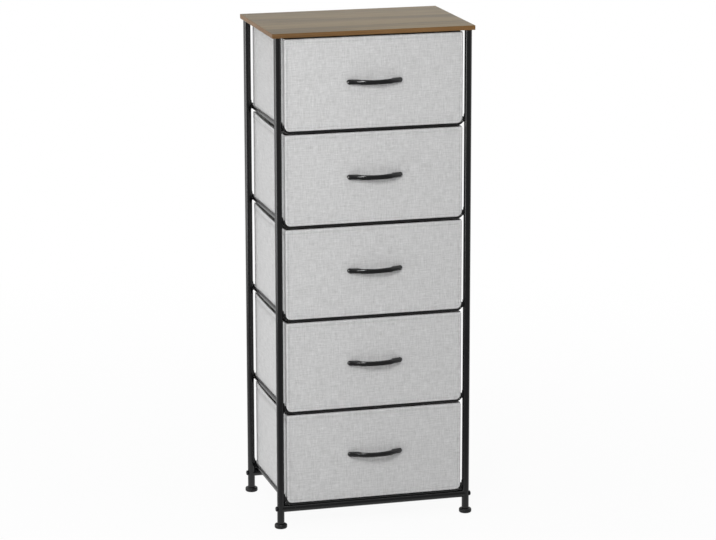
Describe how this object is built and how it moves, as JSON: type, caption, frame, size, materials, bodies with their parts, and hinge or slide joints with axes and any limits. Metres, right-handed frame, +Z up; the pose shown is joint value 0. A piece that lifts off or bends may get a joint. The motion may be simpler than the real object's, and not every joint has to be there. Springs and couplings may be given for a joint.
{
  "type": "fabric drawer dresser",
  "caption": "Tall narrow chest of fabric drawers in a black steel tube frame, with a wood-grain top board and black bow handles.",
  "frame": {"origin": "on the floor, under the centre of the whole object's outline, handles included", "axes": "+Z up, the drawers open towards -Y, +X to the right of someone who faces the drawers"},
  "size_m": [0.452, 0.3274, 1.098],
  "materials": {
    "wood_laminate": "grey-brown wood-grain paper on fibreboard, matt",
    "powder_coat": "black powder coat, satin",
    "foot_plastic": "black moulded plastic, matt",
    "plug_nylon": "black nylon",
    "zinc_steel": "bright zinc plate",
    "black_bolt": "black zinc, satin",
    "linen_fabric": "light grey linen-look non-woven fabric",
    "hardboard": "plain hardboard",
    "handle_plastic": "black ABS, semi-gloss"
  },
  "bodies": {
    "frame": {"top_board": "wood_laminate", "post_front_left": "powder_coat", "post_front_right": "powder_coat", "post_back_left": "powder_coat", "post_back_right": "powder_coat", "foot_front_left": "foot_plastic", "foot_front_right": "foot_plastic", "foot_back_left": "foot_plastic", "foot_back_right": "foot_plastic", "post_bottom_plugs": "plug_nylon", "post_top_studs": "zinc_steel", "board_threaded_sleeves": "zinc_steel", "bottom_rail_front": "powder_coat", "bottom_rail_back": "powder_coat", "rail_end_nuts": "plug_nylon", "rail_bolts": "black_bolt", "runner_1_left": "powder_coat", "runner_1_right": "powder_coat", "runner_2_left": "powder_coat", "runner_2_right": "powder_coat", "runner_3_left": "powder_coat", "runner_3_right": "powder_coat", "runner_4_left": "powder_coat", "runner_4_right": "powder_coat", "runner_5_left": "powder_coat", "runner_5_right": "powder_coat", "rod_1_front": "powder_coat", "rod_1_back": "powder_coat", "rod_2_front": "powder_coat", "rod_2_back": "powder_coat", "rod_3_front": "powder_coat", "rod_3_back": "powder_coat", "rod_4_front": "powder_coat", "rod_4_back": "powder_coat", "bottom_rods": "powder_coat"},
    "drawer_1": {"drawer_1_bin": "linen_fabric", "drawer_1_front_board": "hardboard", "drawer_1_base_board": "hardboard", "drawer_1_handle": "handle_plastic", "drawer_1_handle_screws": "zinc_steel"},
    "drawer_2": {"drawer_2_bin": "linen_fabric", "drawer_2_front_board": "hardboard", "drawer_2_base_board": "hardboard", "drawer_2_handle": "handle_plastic", "drawer_2_handle_screws": "zinc_steel"},
    "drawer_3": {"drawer_3_bin": "linen_fabric", "drawer_3_front_board": "hardboard", "drawer_3_base_board": "hardboard", "drawer_3_handle": "handle_plastic", "drawer_3_handle_screws": "zinc_steel"},
    "drawer_4": {"drawer_4_bin": "linen_fabric", "drawer_4_front_board": "hardboard", "drawer_4_base_board": "hardboard", "drawer_4_handle": "handle_plastic", "drawer_4_handle_screws": "zinc_steel"},
    "drawer_5": {"drawer_5_bin": "linen_fabric", "drawer_5_front_board": "hardboard", "drawer_5_base_board": "hardboard", "drawer_5_handle": "handle_plastic", "drawer_5_handle_screws": "zinc_steel"}
  },
  "joints": [
    {"name": "drawer_1_slide", "type": "slide", "parent": "frame", "child": "drawer_1", "axis": [0, -1, 0], "range_m": [0, 0.22]},
    {"name": "drawer_2_slide", "type": "slide", "parent": "frame", "child": "drawer_2", "axis": [0, -1, 0], "range_m": [0, 0.22]},
    {"name": "drawer_3_slide", "type": "slide", "parent": "frame", "child": "drawer_3", "axis": [0, -1, 0], "range_m": [0, 0.22]},
    {"name": "drawer_4_slide", "type": "slide", "parent": "frame", "child": "drawer_4", "axis": [0, -1, 0], "range_m": [0, 0.22]},
    {"name": "drawer_5_slide", "type": "slide", "parent": "frame", "child": "drawer_5", "axis": [0, -1, 0], "range_m": [0, 0.22]}
  ]
}
